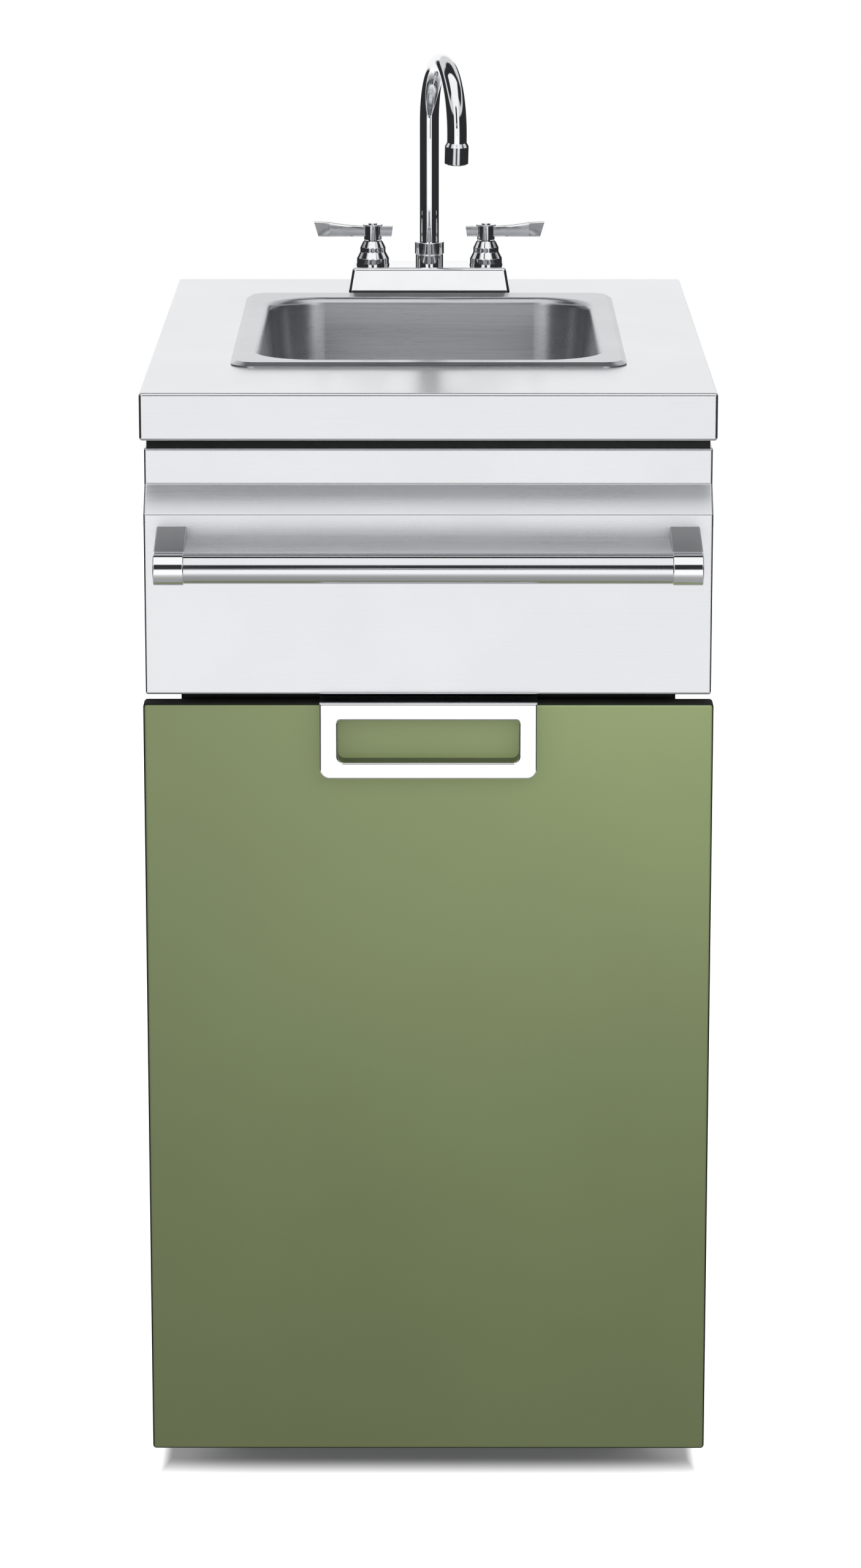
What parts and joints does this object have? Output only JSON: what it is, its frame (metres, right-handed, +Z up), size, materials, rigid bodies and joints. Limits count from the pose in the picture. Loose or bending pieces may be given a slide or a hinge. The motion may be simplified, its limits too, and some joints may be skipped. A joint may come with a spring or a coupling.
{
  "type": "sink base cabinet",
  "caption": "Narrow stainless sink base cabinet with a drop-in sink, gooseneck deck faucet, towel bar on a sloped fascia and a tall painted door with a box pull.",
  "frame": {"origin": "on the floor, under the middle of the whole outline", "axes": "+Z up, front with the door faces -Y, +X to the viewer's right"},
  "size_m": [0.4572, 0.7212, 1.1309],
  "materials": {
    "worktop_steel": "fine brushed stainless sheet",
    "fascia_steel": "fine brushed stainless sheet",
    "body_steel": "satin stainless sheet",
    "sink_steel": "drawn satin stainless",
    "bar_steel": "brushed tube",
    "polished_steel": "mirror polished",
    "faucet_chrome": "bright chrome plate",
    "green_paint": "semi-gloss green paint",
    "liner_steel": "light grey primer coat",
    "black_rubber": "soft black rubber",
    "black_plastic": "moulded black plastic",
    "white_plastic": "moulded white pipe",
    "zinc_steel": "zinc plated steel",
    "brass": "turned brass"
  },
  "bodies": {
    "cabinet": {"countertop": "worktop_steel", "counter_stiffeners": "body_steel", "counter_screws": "zinc_steel", "reveal_strip": "black_rubber", "apron": "fascia_steel", "apron_studs": "zinc_steel", "right_bar_bracket": "polished_steel", "left_bar_bracket": "polished_steel", "bar_screws": "zinc_steel", "towel_bar": "bar_steel", "right_side_panel": "body_steel", "left_side_panel": "body_steel", "header_panel": "body_steel", "rear_rail": "body_steel", "bottom_panel": "body_steel", "back_panel": "body_steel", "foot_sockets": "zinc_steel", "cabinet_leaves": "zinc_steel", "hinge_pins": "zinc_steel", "magnet_catch": "black_plastic", "sink": "sink_steel", "sink_rails": "zinc_steel", "sink_clips": "zinc_steel", "clip_screws": "zinc_steel", "drain_body": "polished_steel", "drain_gasket": "black_rubber", "drain_nut": "brass", "tailpiece": "white_plastic", "trap_bend": "white_plastic", "trap_arm": "white_plastic", "slip_nuts": "white_plastic", "faucet_base": "faucet_chrome", "faucet_gasket": "black_rubber", "inlet_shanks": "brass", "shank_nuts": "brass", "valve_bonnets": "faucet_chrome", "spout_collar": "faucet_chrome", "spout_nut": "faucet_chrome"},
    "door": {"door_skin": "green_paint", "door_liner": "liner_steel", "door_pull": "polished_steel", "pull_screws": "polished_steel", "door_leaves": "zinc_steel", "strike_plate": "zinc_steel", "door_bumpers": "black_rubber"},
    "spout": {"spout_tube": "faucet_chrome", "aerator": "faucet_chrome"},
    "hot_handle": {"hot_stem": "brass", "hot_lever": "faucet_chrome", "hot_cap": "faucet_chrome"},
    "cold_handle": {"cold_stem": "brass", "cold_lever": "faucet_chrome", "cold_cap": "faucet_chrome"},
    "strainer": {"strainer_basket": "polished_steel"},
    "front_left_foot_body": {"front_left_foot": "black_plastic"},
    "front_right_foot_body": {"front_right_foot": "black_plastic"},
    "rear_left_foot_body": {"rear_left_foot": "black_plastic"},
    "rear_right_foot_body": {"rear_right_foot": "black_plastic"}
  },
  "joints": [
    {"name": "door_hinge", "type": "hinge", "parent": "cabinet", "child": "door", "pos_m": [-0.204, -0.2684, 0.34555], "axis": [0, 0, -1], "range_deg": [0, 105]},
    {"name": "spout_swivel", "type": "hinge", "parent": "cabinet", "child": "spout", "pos_m": [0, 0.2901, 0.9374], "axis": [0, 0, 1], "continuous": true},
    {"name": "hot_lever_turn", "type": "hinge", "parent": "cabinet", "child": "hot_handle", "pos_m": [-0.0508, 0.2901, 0.9599], "axis": [0, 0, 1], "range_deg": [0, 90]},
    {"name": "cold_lever_turn", "type": "hinge", "parent": "cabinet", "child": "cold_handle", "pos_m": [0.0508, 0.2901, 0.9599], "axis": [0, 0, -1], "range_deg": [0, 90]},
    {"name": "strainer_lift", "type": "slide", "parent": "cabinet", "child": "strainer", "axis": [0, 0, 1], "range_m": [0, 0.17]},
    {"name": "front_left_foot_screw", "type": "slide", "parent": "cabinet", "child": "front_left_foot_body", "axis": [0, 0, -1], "range_m": [0, 0.012]},
    {"name": "front_right_foot_screw", "type": "slide", "parent": "cabinet", "child": "front_right_foot_body", "axis": [0, 0, -1], "range_m": [0, 0.012]},
    {"name": "rear_left_foot_screw", "type": "slide", "parent": "cabinet", "child": "rear_left_foot_body", "axis": [0, 0, -1], "range_m": [0, 0.012]},
    {"name": "rear_right_foot_screw", "type": "slide", "parent": "cabinet", "child": "rear_right_foot_body", "axis": [0, 0, -1], "range_m": [0, 0.012]}
  ]
}
